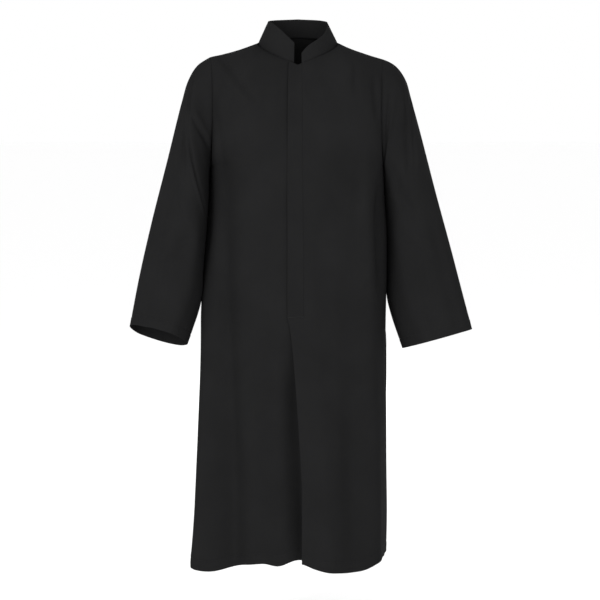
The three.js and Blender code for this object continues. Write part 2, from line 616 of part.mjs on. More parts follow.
const sewn = {
  front_right: { grid: rightFront, cloth: CLOTH, seams: [{ column: 0 }, { row: topRow }] },
  front_left: { grid: leftFront, cloth: CLOTH, seams: [{ column: lastColumn }, { row: topRow }] },
  back: { grid: back, cloth: CLOTH, seams: [{ column: 0 }, { column: back[0].length - 1 }, { row: topRow }] },
  sleeve_right: { grid: sleeveGrid('right'), closed: true, cloth: CLOTH, seams: [{ row: STEPS.sleeve }] },
  sleeve_left: { grid: sleeveGrid('left'), closed: true, cloth: CLOTH, seams: [{ row: STEPS.sleeve }] },
  collar: { grid: collarGrid(leftFront, back, rightFront), cloth: COLLAR_CLOTH, seams: [{ row: 0 }] },
};
const normals = sharedNormals(Object.values(sewn));

const robe = new THREE.Group();
const addPiece = (name, geometry) => {
  const piece = new THREE.Mesh(geometry, cloth.clone());
  piece.name = name;
  robe.add(piece);
};

for (const [name, piece] of Object.entries(sewn)) addPiece(name, wall(piece, normals));
addPiece('placket', placketWall(leftFront, normals));
addPiece('pocket_right', pocketWall(rightFront, 'right', normals));
addPiece('pocket_left', pocketWall(leftFront, 'left', normals));

export default robe;
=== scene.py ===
"""An imam robe as it hangs on a wearer, in Blender 4.5.

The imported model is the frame. Each piece of cloth is made again here as a thin shell on its solid's form,
with finer steps, its creases, its seams and hems, and its stitching. Sizes are in millimetres and degrees, as
the solids' own are, and a mesh is written in metres.
"""

import math
import random

import bpy
import numpy as np
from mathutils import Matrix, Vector
from mathutils.kdtree import KDTree


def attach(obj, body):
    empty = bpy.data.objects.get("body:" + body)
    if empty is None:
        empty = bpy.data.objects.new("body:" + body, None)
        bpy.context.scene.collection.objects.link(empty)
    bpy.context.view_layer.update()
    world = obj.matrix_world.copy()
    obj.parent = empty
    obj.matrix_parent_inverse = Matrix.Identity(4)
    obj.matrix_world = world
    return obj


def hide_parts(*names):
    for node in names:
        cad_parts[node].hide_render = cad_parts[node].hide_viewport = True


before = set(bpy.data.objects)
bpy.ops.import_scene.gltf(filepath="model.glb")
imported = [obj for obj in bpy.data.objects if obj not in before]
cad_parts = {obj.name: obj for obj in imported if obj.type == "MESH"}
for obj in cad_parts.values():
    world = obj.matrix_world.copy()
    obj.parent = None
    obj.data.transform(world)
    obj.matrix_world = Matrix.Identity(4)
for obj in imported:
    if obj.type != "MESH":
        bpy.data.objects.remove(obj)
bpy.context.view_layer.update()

MM = 0.001


def table(columns, *rows):
    """A short table: the names of its columns, and then its rows."""
    names = columns.split()
    return [dict(zip(names, row)) for row in rows]


# ---- The robe's dimensions, as in its solids ----

HEM_Z = -1238
UNDERARM_Z = -290
FLY_END_Z = -650  # the fronts are free of each other below this
LAP_SWING = 400  # their edges swing aside over this drop below the fly
SWING_POWER = 0.6  # how soon they do

NECK_SIDE = {"x": 94, "y": 6, "z": -3}
NECK_FRONT = {"y": -60, "z": -55}
NECK_BACK = {"y": 66, "z": 10}
NECK_SHARE = 0.4  # share of a panel's width that lies under the collar
NECK_RISE_POWER = 0.85  # how the front neckline climbs from the centre
SHOULDER_TIP = {"right": {"x": 208, "z": -35}, "left": {"x": 204, "z": -41}}
SHOULDER_Y = 5
SHOULDER_DIP = 3  # the shoulder seam sags this much between its ends

ARMHOLE_DEPTH = {"front": 72, "back": 70}  # from its middle
ARMHOLE_SCOOP = 8  # and how far in it curves
TURN_POWER = 0.85  # how evenly the rows meet the armhole

# How a panel bends from the chest to its top edge: powers of the way up for its width, and for its height and
# its depth, at the neck and at the side.
YOKE_BEND = {"width": 1.5, "up_neck": 1.1, "up_side": 0.9, "in_neck": 2.2, "in_side": 2.25, "round": 0.4}
CHEST_FLAT = 0.17  # share of a panel's width beside the centre with little fullness
FOLDS_END = 0.8  # the folds have run out at this share of the way up from the underarm
ARMHOLE_CALM = {"from": 0.6, "most": 0.8}  # from this share of the width on they are weaker there

LAP_LIFT = {"fly": 4.2, "hem": 20}  # how far the left front lies outside the right one
LAP_HOLD_DEG = 13  # the lift is whole up to this angle from the centre
LAP_FALL_DEG = 24  # and runs out over this many more
LAP_EDGE = {"fly": -24, "hem": 9}  # X of the left front's free edge
UNDERLAP_EDGE = {"fly": 18, "hem": 30}  # and of the right one's
COLLAR_END_DEG = 2.3  # the collar stops this far either side of the centre front
RING_POWER = 0.88  # a body ring is a little squarer than an ellipse

# The body's rings: how far each reaches to the wearer's right and left, to the front and to the back.
BODY_RINGS = table(
    "z right left front back",
    (-1238, 261, 210, 138, 150),
    (-1094, 245, 212, 138, 147),
    (-854, 231, 212, 137, 141),
    (-700, 227, 211, 134, 135),
    (-620, 227, 212, 132, 131),
    (-540, 225, 214, 130, 127),
    (-450, 219, 214, 127, 122),
    (-350, 211, 207, 125, 118),
    (-290, 208, 204, 124, 117),
)

# Long folds: the angle round the body at the fold's start and at the hem, the heights where it starts and
# where it is whole, and its depth, positive for a ridge.
BODY_FOLDS = table(
    "start hem spread from full depth",
    (24, 27, 20, -560, -1238, 24),
    (5, 14, 6, -330, -1150, 8),
    (30, 32, 9, -380, -1100, -9),
    (50, 58, 11, -300, -1200, 15),
    (-60, -34, 9, -60, -1100, -24),
    (-82, -60, 11, -200, -1238, 30),
    (-30, -20, 9, -330, -1000, 8),
    (106, 104, 9, -330, -1238, 12),
    (124, 123, 8, -260, -1238, -15),
    (143, 146, 9, -300, -1238, 13),
    (166, 168, 9, -220, -1238, -13),
    (-170, -171, 9, -300, -1238, 11),
    (-149, -150, 8, -240, -1238, -15),
    (-129, -128, 9, -330, -1238, 14),
    (-108, -104, 8, -380, -1238, -11),
)

# The right front alone sinks in below the fly, beneath the left one's free edge.
UNDERLAP_FOLDS = table(
    "start hem spread from full depth",
    (-2.4, 3, 5, -640, -850, -21),
)

# How far the hem hangs above HEM_Z at each angle round the body.
HEM_RISE = table(
    "angle rise",
    (-180, 0),
    (-125, 0),
    (-90, -32),
    (-65, -12),
    (-48, -16),
    (-36, -6),
    (-24, 7),
    (-15, 12),
    (-8, 6),
    (0, 18),
    (8, 6),
    (22, -5),
    (33, -11),
    (45, -9),
    (57, 1),
    (72, 4),
    (90, 0),
    (180, 0),
)

# Folds that run out again above the hem.
SHORT_FOLDS = table(
    "start hem spread from full depth until",
    (72, 60, 12, -285, -430, -28, -660),
    (-76, -68, 9, -290, -450, -9, -640),
    (44, 62, 9, -220, -480, 7, -700),
)

# A sleeve's rings, from armhole to cuff: the outer and the inner end of each, its half depth, and its lean.
SLEEVE_RINGS = {
    "right": table(
        "s outX outZ inX inZ depth y lean",
        (0, 208, -35, 208, -290, 71, 5, 0),
        (0.05, 237, -54, 210, -310, 71, 1, 0),
        (0.12, 259, -90, 210, -335, 72, -12, 0),
        (0.2, 272, -135, 211, -365, 73, -24, 0),
        (0.4, 309, -280, 217, -445, 74, -32, 3),
        (0.6, 345, -420, 224, -530, 74, -34, 8),
        (0.8, 376, -548, 230, -612, 71, -38, 14),
        (1, 399, -672, 263, -712, 66, -52, 20),
    ),
    "left": table(
        "s outX outZ inX inZ depth y lean",
        (0, 204, -41, 204, -290, 71, 5, 0),
        (0.05, 232, -57, 206, -307, 71, 9, 0),
        (0.12, 257, -90, 206, -335, 72, 18, 0),
        (0.2, 271, -135, 207, -365, 73, 28, 0),
        (0.4, 311, -282, 212, -448, 73, 34, 1),
        (0.6, 349, -424, 213, -535, 70, 32, 3),
        (0.8, 384, -553, 216, -620, 64, 18, 5),
        (1, 417, -682, 251, -728, 56, -15, 7),
    ),
}

# Folds of the sleeves: way along the sleeve, and turn round it at the fold's two ends.
SLEEVE_FOLDS = {
    "right": table(
        "from to turn_from turn_to spread depth",
        (0.06, 0.42, 150, 96, 12, -6),
        (0.46, 0.86, 60, 112, 14, -5),
        (0.3, 1, 40, 62, 16, 6),
        (0.4, 1, 125, 118, 14, -6),
        (0.1, 0.7, 300, 250, 14, -8),
        (0.35, 1, 215, 225, 16, 5),
    ),
    "left": table(
        "from to turn_from turn_to spread depth",
        (0.06, 0.4, 140, 92, 12, -6),
        (0.14, 0.62, 55, 104, 13, -7),
        (0.3, 1, 45, 70, 15, 6),
        (0.45, 1, 128, 130, 14, -5),
        (0.1, 0.66, 305, 255, 14, -8),
        (0.4, 1, 220, 232, 16, 5),
    ),
}

# The collar's top edge: way runs from the front end, past the shoulder seam at 1, to the centre back at 2.
COLLAR_EDGE = table(
    "way right left narrow",
    (0, -3, -27, 0.94),
    (0.1, 8, -13, 0.9),
    (0.3, 27, 1, 0.84),
    (0.6, 43, 17, 0.78),
    (1, 48, 43, 0.75),
    (1.4, 51, 50, 0.78),
    (2, 54, 54, 0.86),
)
COLLAR_LEAN = 0.6  # how much of its narrowing the collar has from front to back

# A pocket's bag: its heights and its mouth's, its distance behind the front's face, and how far its layers
# part in the middle and where they are pressed together.
POCKET = {
    "top": -640, "bottom": -890, "mouth_top": -690, "mouth_bottom": -840,
    "set_in": 2.8, "parting": 1.8, "pressed": 0.4,
}
MOUTH_LIFT = 3  # how far the front stands off the back's edge along the pocket's mouth
MOUTH_SPREAD_DEG = 3.5  # and about how far round the body that reaches
SLEEVE_START = 0.2  # share of a sleeve over which it leaves the armhole's own shape
SLEEVE_ROW_POWER = 1.2  # the sleeve's rows lie closer together near the armhole
FOLD_ENDS = 3  # a sleeve's fold grows and runs out over one part in this many of its length

# ---- What only the looks need ----

SHELL = 1.3  # thickness of a shell of single cloth
COLLAR_SHELL = 2.2
STRIP_SHELL = 0.35
POCKET_SHELL = 0.8
RIM_ROUND = 0.4  # a free edge is rounded out by this share of the shell's thickness

STRIP_RISE = 0.6  # the fly's strip stands this far proud of the front
STRIP_SEWN_RISE = 0.05  # and this far along its inner edge and its lower end, where it is sewn down
STRIP_INSET = {"edge": 0.25, "top": 0.5}  # shares of a step that its outer edge and its top draw in

HEM_BAND = 25  # the turned hem's height, up to its row of stitches
CUFF_BAND = 24
TURNED = {"height": 0.45, "edge": 2}  # a turned band stands out this much, from a soft edge
BAND_GROOVE = {"depth": 0.7, "width": 1.8}  # its row of stitches sinks in
PUCKER = {"waves": 3, "pitch": (9, 23), "phase": 6.3, "height": 0.45, "width": 10}
COLLAR_GROOVE = {"depth": 0.35, "width": 1.4}
MOUTH_GROOVE = {"depth": 1, "width": 2.5}

# Rows near the hem, in millimetres above it, that catch the turned band and its stitches.
BAND_ROWS = [0, 1.2, 3, 6, 11, 17, 21, 23.5, 25, 26.5, 29, 33, 39, 46]

# How finely each piece is faceted. The lap, neck and shoulder steps make up a front's width.
STEPS = {
    "skirt": 112, "yoke": 60, "lap": 8, "neck": 24, "shoulder": 36, "sleeve": 84, "collar": 12, "pocket": 32,
}

# A crease's form, in shares of its width: how far it wavers, and its ridge's height, place and width.
CREASE = {"waver": 0.25, "waves": 5, "ends": 3, "ridge": 0.6, "ridge_place": 1.8, "ridge_width": 1.3}

# Slight waves all over the cloth, longer down it than across it.
UNEVEN = {"waves": 9, "across": (55, 170), "down": (160, 520), "height": 0.5}
SLEEVE_SWAY = 40  # the waves run this much to and fro as they go round a sleeve

# Creases in the front's cloth as seen from the front: a trough from one place to another (X, Z), with a soft
# ridge beside it on the side that lean gives.
FRONT_CREASES = table(
    "x z to_x to_z width depth lean",
    (-206, -12, -84, -148, 8, 5.0, 1),
    (-150, -28, -120, -96, 7, 1.8, -1),
    (132, -30, 134, -134, 8, 3.2, 1),
    (180, -66, 184, -200, 8, 5.4, -1),
    (60, -70, 92, -150, 12, 1.8, 1),
    (-60, -80, -84, -190, 12, 1.6, -1),
    (-196, -120, -176, -330, 9, 3.0, 1),
    (-168, -200, -150, -760, 20, 3.4, -1),
    (62, -380, 70, -900, 22, 2.0, 1),
    (150, -220, 128, -470, 12, 2.4, -1),
    (-62, -320, -52, -900, 20, 2.0, -1),
    (-186, -700, -176, -1100, 18, 1.6, -1),
    (118, -800, 112, -1330, 18, 2.4, 1),
    (-208, -832, -140, -830, 9, 1.4, 1),
    (196, -862, 132, -868, 9, 1.3, 1),
)

BACK_CREASES = table(
    "x z to_x to_z width depth lean",
    (-170, -60, -70, -210, 12, 3.0, 1),
    (172, -58, 84, -190, 12, 2.8, -1),
    (-190, -180, -150, -420, 11, 3.2, -1),
    (188, -200, 156, -400, 11, 3.0, 1),
    (-40, -20, -30, -160, 12, 1.6, 1),
    (52, -24, 40, -200, 13, 1.8, -1),
    (-100, -330, -96, -820, 13, 2.6, 1),
    (24, -380, 18, -900, 13, 2.4, -1),
    (118, -420, 122, -980, 12, 2.8, 1),
    (-176, -600, -184, -1050, 12, 2.6, -1),
    (178, -700, 184, -1100, 12, 2.2, 1),
    (-60, -900, -58, -1300, 12, 2.6, 1),
    (66, -940, 70, -1300, 12, 2.4, -1),
)

# Creases of the sleeves: way along the sleeve and turn round it, at the crease's two ends.
SLEEVE_CREASES = {
    "right": table(
        "way turn to_way to_turn width depth lean",
        (0.17, 122, 0.01, 48, 6, 4.0, -1),
        (0.2, 140, 0.32, 2, 7, 4.6, 1),
        (0.05, 165, 0.2, 118, 7, 2.6, 1),
        (0.1, 172, 0.34, 100, 8, 2.8, -1),
        (0.2, 150, 0.5, 84, 8, 2.2, 1),
        (0.46, 60, 0.66, 150, 9, 2.4, -1),
        (0.56, 40, 0.8, 140, 9, 2.0, 1),
        (0.6, 100, 1.1, 96, 9, 1.8, 1),
        (0.12, 200, 0.36, 262, 9, 2.8, -1),
        (0.42, 320, 0.6, 232, 9, 2.6, 1),
        (0.55, 330, 0.74, 240, 9, 2.4, -1),
        (0.7, 262, 1.1, 266, 10, 1.8, 1),
    ),
    "left": table(
        "way turn to_way to_turn width depth lean",
        (0.05, 140, 0.04, 24, 7, 4.4, 1),
        (0.05, 160, 0.22, 112, 7, 2.4, -1),
        (0.14, 170, 0.4, 104, 8, 2.6, 1),
        (0.26, 48, 0.52, 112, 8, 2.4, -1),
        (0.5, 52, 0.74, 128, 9, 2.2, 1),
        (0.58, 92, 1.1, 88, 9, 2.0, -1),
        (0.1, 198, 0.34, 258, 9, 2.8, 1),
        (0.4, 318, 0.6, 236, 9, 2.6, -1),
        (0.56, 328, 0.76, 246, 9, 2.2, 1),
        (0.68, 270, 1.1, 262, 10, 1.8, -1),
    ),
}

SEAM = 0.02  # gap that parts two sewn pieces
SEAM_SINK = 0.7  # a seam lies this far below the cloth beside it
NECK_SINK = 0.25  # and the collar's seam this far
SEAM_SOFT = 4  # the cloth sinks to a seam over about this distance
SEAM_FADE = 16  # creases run out over this distance before a seam
SAME_PLACE = 0.05  # grid points nearer than this are the same point of a seam
SLEEVE_FLAT = {"length": 560, "per_degree": 1.4}  # a sleeve laid out flat, along it and round it

# How near the neck a seam is the collar's.
NEAR_NECK = {"reach": 120, "fade": 30, "lowest": -150}

# Where the body and a sleeve touch, and have no creases: on a panel, and on a sleeve's inner side.
UNDER_ARM = {"x": 185, "x_fade": 20, "y": 70, "y_fade": 30, "z": -660, "z_fade": 40}
INNER_SIDE = {"cosine": 0.75, "fade": 0.2, "way": 0.86, "way_fade": 0.1}

FLY_STITCH_INSET = 4  # from the strip's inner edge to its stitching
COLLAR_STITCH_INSET = 5
MOUTH_STITCH_INSET = 7
MOUTH_STITCH_PAST = 8  # the row of stitches runs this far past the mouth's two ends
TACK_INSET = 3
STITCH = {"pitch": 3.4, "length": 2.5, "width": 0.5}
TACK = {"pitch": 0.7, "length": 2.6, "width": 0.6}
STITCH_AHEAD = 0.5  # a stitch points at the place this far ahead on its line

# A stitch seen from the side, as shares of its length and heights above the cloth, and the faces of its bar.
STITCH_PROFILE = ((-0.5, -0.1), (-0.3, 0.32), (0.3, 0.32), (0.5, -0.1))
STITCH_FACES = np.array([[0, 1, 3, 2], [2, 3, 5, 4], [4, 5, 7, 6], [0, 2, 4, 6], [1, 7, 5, 3], [0, 6, 7, 1]])

ROUND_PIECES = ("sleeve_left", "sleeve_right")
SEAMS = {
    "front_left": ("last", "top"),
    "front_right": ("first", "top"),
    "back": ("first", "last", "top"),
    "sleeve_left": ("top",),
    "sleeve_right": ("top",),
    "collar": ("bottom",),
}

# A cloth is patchy between two blacks, and thread is the pitch of its ribs in metres.
SUITING = {"dark": (0.0094, 0.0094, 0.0096), "light": (0.0136, 0.0136, 0.0139), "thread": 0.0009}
LINING = {"dark": (0.0075, 0.0075, 0.0078), "light": (0.0105, 0.0105, 0.0108), "thread": 0.0005}
LOOKS = {
    "cloth": {**SUITING, "roughness": 0.95, "specular": 0.012, "sheen": 0.002, "bump": 0.35},
    "collar_cloth": {**SUITING, "roughness": 0.93, "specular": 0.015, "sheen": 0.002, "bump": 0.3},
    "pocketing": {**LINING, "roughness": 0.75, "specular": 0.15, "sheen": 0.01, "bump": 0.15},
}
WAVE_RADIANS = 20  # Blender's wave texture turns this far in one scaled unit
TWILL = {"slant_deg": 62, "waver": 0.6, "cross_pitch": 0.6, "cross_share": 0.35, "height": 0.0002}
PATCHES = {"Scale": 9, "Detail": 4}
SHEEN = {"roughness": 0.45, "tint": (0.75, 0.78, 0.85, 1)}
PLAIN_SPECULAR = 0.2
THREAD = {"colour": (0.0095, 0.0095, 0.0098), "roughness": 0.8}
PAPER = {"colour": (0.99, 0.99, 0.99), "roughness": 0.9}

WORLD_STRENGTH = 1.0

# Soft lights, in metres and watts.
LIGHTS = table(
    "name at size power",
    ("key", (-2.6, -4.2, 0.8), (1.6, 2.2), 110),
    ("fill", (2.2, -4.6, 0.0), (2.4, 2.6), 42),
    ("back", (1.4, 4.8, 0.2), (1.8, 2.2), 60),
)
LIGHTS_AIM = (0, 0, -0.6)

CAMERA = {"x": 5, "y": -4500, "z": -100, "look_z": -614, "lens": 113.2, "sensor": 36}
FLOOR_Z = -1460  # the robe hangs clear of the floor
FLOOR_REACH = 40  # metres from the middle to each side of the floor

SIDE_SIGN = {"right": -1, "left": 1}
FACE_SIGN = {"front": -1, "back": 1}


# ---- Camera ----

def add_camera():
    """The camera stands in front, a little below the shoulders, and looks down at the robe's middle."""
    camera = bpy.data.objects.new("camera", bpy.data.cameras.new("camera"))
    bpy.context.collection.objects.link(camera)
    camera.location = [CAMERA[axis] * MM for axis in "xyz"]
    drop = math.atan2(CAMERA["look_z"] - CAMERA["z"], -CAMERA["y"])
    camera.rotation_euler = (math.pi / 2 + drop, 0, 0)
    camera.data.lens = CAMERA["lens"]
    camera.data.sensor_width = CAMERA["sensor"]
    bpy.context.scene.camera = camera


# ---- Small helpers ----

def mix(a, b, share):
    return a + (b - a) * share


def smooth(value):
    v = np.clip(value, 0, 1)
    return v * v * (3 - 2 * v)


def bell(distance, width):
    """1 at no distance, and less and less to either side."""
    return np.exp(-((distance / width) ** 2))


def signed_power(value, power):
    return np.sign(value) * np.abs(value) ** power


def along(rows, key, column, place):
    """A table column's value at a place between its rows, on a smooth curve through them."""
    keys = np.array([row[key] for row in rows], float)
    values = np.array([row[column] for row in rows], float)
    if keys[0] > keys[-1]:
        keys, values = keys[::-1], values[::-1]
    slopes = np.diff(values) / np.diff(keys)
    tangents = np.concatenate([slopes[:1], (slopes[:-1] + slopes[1:]) / 2, slopes[-1:]])
    place = np.clip(place, keys[0], keys[-1])
    i = np.clip(np.searchsorted(keys, place, side="right") - 1, 0, len(keys) - 2)
    span = keys[i + 1] - keys[i]
    t = (place - keys[i]) / span
    rise = (2 * t**3 - 3 * t**2 + 1) * values[i] + (3 * t**2 - 2 * t**3) * values[i + 1]
    return rise + (t**3 - 2 * t**2 + t) * span * tangents[i] + (t**3 - t**2) * span * tangents[i + 1]


def stack(x, y, z):
    return np.stack(np.broadcast_arrays(x, y, z), axis=-1).astype(float)


def unit(vectors):
    return vectors / np.maximum(np.linalg.norm(vectors, axis=-1, keepdims=True), 1e-12)


# ---- The body's surface ----

def reach(side, z):
    return along(BODY_RINGS, "z", side, z)


def by_side(sign_of, z):
    """The body's reach to the side that each value's sign gives."""
    return np.where(sign_of < 0, reach("right", z), reach("left", z))


def angle_at(x, z):
    """The angle round the body of the place on its front that is x from the middle."""
    return np.sign(x) * np.degrees(np.arcsin((abs(x) / by_side(x, z)) ** (1 / RING_POWER)))


def ring_point(angle, z):
    """A point of the body's ring at a height. Angle 0 is the centre front and 90 the wearer's left side."""
    sine, cosine = np.sin(np.radians(angle)), np.cos(np.radians(angle))
    deep = np.where(cosine < 0, reach("back", z), reach("front", z))
    y = SHOULDER_Y - signed_power(cosine, RING_POWER) * (deep + SHOULDER_Y * np.sign(cosine))
    return stack(signed_power(sine, RING_POWER) * by_side(sine, z), y, z)


def outward(angle, z):
    """The direction in which the body faces at an angle round it."""
    point = ring_point(angle, z)
    across = by_side(point[..., 0], z)
    deep = np.where(point[..., 1] < SHOULDER_Y, reach("front", z), reach("back", z))
    return unit(stack(point[..., 0] / across**2, (point[..., 1] - SHOULDER_Y) / deep**2, 0))


def fold_height(angle, z, folds):
    """How far folds push the cloth out. Each grows from its start and leans to its angle at the hem."""
    height = np.zeros(np.shape(z))
    for fold in folds:
        way = np.clip((fold["from"] - z) / (fold["from"] - HEM_Z), 0, 1)
        off = (angle - mix(fold["start"], fold["hem"], way) + 540) % 360 - 180
        grown = smooth((fold["from"] - z) / (fold["from"] - fold["full"]))
        kept = smooth((z - fold["until"]) / (fold["full"] - fold["until"])) if "until" in fold else 1
        height = height + fold["depth"] * grown * kept * bell(off, fold["spread"])
    return height


def top_edge(sign, face, share):
    """A panel's top edge: the neckline up to NECK_SHARE of its width, then the shoulder seam."""
    way = share / NECK_SHARE
    end = NECK_FRONT if face == "front" else NECK_BACK
    turn = np.minimum(way, 1) * math.pi / 2
    rise = np.minimum(way, 1) ** NECK_RISE_POWER if face == "front" else 1 - np.cos(turn)
    neck = stack(
        sign * NECK_SIDE["x"] * np.sin(turn),
        NECK_SIDE["y"] + (end["y"] - NECK_SIDE["y"]) * np.cos(turn),
        mix(end["z"], NECK_SIDE["z"], rise),
    )
    way = (share - NECK_SHARE) / (1 - NECK_SHARE)
    tip_x, tip_z = (np.where(sign < 0, SHOULDER_TIP["right"][k], SHOULDER_TIP["left"][k]) for k in "xz")
    seam = stack(
        sign * mix(NECK_SIDE["x"], tip_x, way),
        mix(NECK_SIDE["y"], SHOULDER_Y, way),
        mix(NECK_SIDE["z"], tip_z, way) - SHOULDER_DIP * np.sin(math.pi * np.clip(way, 0, 1)),
    )
    return np.where((share <= NECK_SHARE)[..., None], neck, seam)


def armhole_turn(rise):
    """The turn round the armhole, from the underarm at 0 to the shoulder's tip at 1."""
    return math.pi * rise**TURN_POWER


def yoke_point(sign, face, share, rise):
    """A panel above the underarm, from the body's centre to the armhole and from the underarm to its top."""
    angle = share * 90 if face == "front" else 180 - share * 90
    bottom = ring_point(sign * angle, np.full(np.shape(share), float(UNDERARM_Z)))
    top = top_edge(sign, face, share)
    turn = armhole_turn(rise)
    quarter = np.sin(rise * math.pi / 2)
    over_shoulder = smooth(share / NECK_SHARE)
    at_armhole = smooth((share - NECK_SHARE) / (1 - NECK_SHARE))
    up_side = mix(quarter ** YOKE_BEND["up_side"], (1 - np.cos(turn)) / 2, at_armhole)
    up = mix(quarter ** YOKE_BEND["up_neck"], up_side, over_shoulder)
    in_side = 1 - np.maximum(0, 1 - quarter ** YOKE_BEND["in_side"]) ** YOKE_BEND["round"]
    inwards = mix(up ** YOKE_BEND["in_neck"], in_side, over_shoulder)
    fullness = (np.hypot(share, CHEST_FLAT) - CHEST_FLAT) / (math.hypot(1, CHEST_FLAT) - CHEST_FLAT)
    full = ARMHOLE_DEPTH[face] * np.sin(turn) * fullness
    scoop = sign * ARMHOLE_SCOOP * np.sin(turn) * at_armhole
    return stack(
        mix(bottom[..., 0], top[..., 0], rise ** YOKE_BEND["width"]) - scoop,
        mix(bottom[..., 1], top[..., 1], inwards) + FACE_SIGN[face] * full,
        mix(bottom[..., 2], top[..., 2], up),
    )


def body_point(face, angle, row):
    """Any point of the body. Row 0 is the hem, 1 the underarm and 2 the neckline and the shoulder seam."""
    sign = np.where(angle < 0, -1.0, 1.0)
    share = np.abs(angle) / 90 if face == "front" else (180 - np.abs(angle)) / 90
    rise = np.maximum(0, row - 1)
    hem = HEM_Z + along(HEM_RISE, "angle", "rise", angle)
    below = ring_point(angle, mix(hem, UNDERARM_Z, np.minimum(row, 1)))
    above = yoke_point(sign, face, share, rise)
    point = np.where((row <= 1)[..., None], below, above)
    z = point[..., 2]
    beside_armhole = smooth((share - ARMHOLE_CALM["from"]) / (1 - ARMHOLE_CALM["from"]))
    fade = (1 - smooth(rise / FOLDS_END)) * (1 - ARMHOLE_CALM["most"] * rise * beside_armhole)
    push = fold_height(angle, z, BODY_FOLDS + SHORT_FOLDS) * fade
    return point + outward(angle, np.minimum(z, UNDERARM_Z)) * push[..., None]


def lap_lift(angle, z):
    """How far the left front stands off the body so that the right one passes under it."""
    free = smooth((FLY_END_Z - z) / LAP_SWING)
    return mix(LAP_LIFT["fly"], LAP_LIFT["hem"], free) * (1 - smooth((angle - LAP_HOLD_DEG) / LAP_FALL_DEG))


# ---- The panels ----

def spread(stops, counts):
    """Values in even steps from one to the next of a list of stops."""
    parts = [np.linspace(a, b, n + 1)[1:] for a, b, n in zip(stops, stops[1:], counts)]
    return np.concatenate([[stops[0]], *parts])


SKIRT_HEIGHT = UNDERARM_Z - HEM_Z
SKIRT_ROWS = np.concatenate([BAND_ROWS[:-1], np.linspace(BAND_ROWS[-1], SKIRT_HEIGHT, STEPS["skirt"])[:-1]])
YOKE_RISES = np.linspace(0, 1, STEPS["yoke"] + 1)
BODY_ROWS = np.concatenate([SKIRT_ROWS / SKIRT_HEIGHT, 1 + YOKE_RISES])
ROW_Z = mix(HEM_Z, UNDERARM_Z, np.minimum(1, BODY_ROWS))


def rows_of(angles):
    return np.broadcast_to(BODY_ROWS[:, None], angles.shape)


def front_angles(edge, sign):
    """The angles of a front's columns in each of its rows, from its free edge to the side seam."""
    swing = np.clip((FLY_END_Z - ROW_Z) / LAP_SWING, 0, 1) ** SWING_POWER
    here = sign * angle_at(mix(edge["fly"], edge["hem"], swing), ROW_Z)
    above = float(sign * angle_at(edge["fly"], UNDERARM_Z))
    counts = [STEPS["lap"], STEPS["neck"], STEPS["shoulder"]]
    columns = spread([above, COLLAR_END_DEG, NECK_SHARE * 90, 90], counts)
    return sign * (90 - (90 - columns)[None, :] * ((90 - here) / (90 - above))[:, None])


def mouth_lift(z):
    """How far the front stands off the back's edge along the pocket's mouth."""
    share = (z - POCKET["mouth_bottom"]) / (POCKET["mouth_top"] - POCKET["mouth_bottom"])
    return MOUTH_LIFT * np.sqrt(np.maximum(0, np.sin(math.pi * np.clip(share, 0, 1))))


def front_grid(side):
    """The left front stands off the body, and the right one sinks in beneath the left one's edge."""
    sign = SIDE_SIGN[side]
    angles = front_angles(LAP_EDGE if side == "left" else UNDERLAP_EDGE, sign)
    points = body_point("front", angles, rows_of(angles))
    z = points[..., 2]
    push = lap_lift(angles, z) if side == "left" else fold_height(angles, z, UNDERLAP_FOLDS)
    points = points + outward(angles, np.minimum(z, UNDERARM_Z)) * push[..., None]
    lift = mouth_lift(z) * bell(90 - np.abs(angles), MOUTH_SPREAD_DEG)
    points = points + outward(np.full(angles.shape, sign * 90.0), z) * lift[..., None]
    return points if side == "left" else points[:, ::-1]


def back_grid():
    neck = NECK_SHARE * 90
    counts = [STEPS["shoulder"], STEPS["neck"], STEPS["neck"], STEPS["shoulder"]]
    columns = spread([90, 180 - neck, 180, 180 + neck, 270], counts)
    signed = np.where(columns > 180, columns - 360, columns)
    angles = np.broadcast_to(signed[None, :], (len(BODY_ROWS), len(signed)))
    return body_point("back", angles, rows_of(angles))


# ---- The sleeves ----

def sleeve_ring(side, way, turn):
    """A point of a sleeve and the way it faces: way runs from armhole to cuff, turn from its inner end."""
    at = {column: along(SLEEVE_RINGS[side], "s", column, way) for column in SLEEVE_RINGS[side][0]}
    sign = SIDE_SIGN[side]
    outer_end = stack(sign * at["outX"], at["y"], at["outZ"])
    inner_end = stack(sign * at["inX"], at["y"], at["inZ"])
    half, middle = (outer_end - inner_end) / 2, (outer_end + inner_end) / 2
    lean = np.radians(at["lean"])
    forward = stack(0, -np.cos(lean), np.sin(lean)) * at["depth"][..., None]
    across, deep = -np.cos(np.radians(turn))[..., None], np.sin(np.radians(turn))[..., None]
    outwards = half * across / (half**2).sum(-1, keepdims=True)
    forwards = forward * deep / (forward**2).sum(-1, keepdims=True)
    return middle + half * across + forward * deep, unit(outwards + forwards)


def sleeve_fold(side, way, turn):
    height = np.zeros(way.shape)
    for fold in SLEEVE_FOLDS[side]:
        share = (way - fold["from"]) / (fold["to"] - fold["from"])
        grown = smooth(share * FOLD_ENDS)
        if fold["to"] < 1:
            grown = grown * smooth((1 - share) * FOLD_ENDS)
        off = turn - mix(fold["turn_from"], fold["turn_to"], np.clip(share, 0, 1))
        height = height + fold["depth"] * grown * bell(off, fold["spread"])
    return height


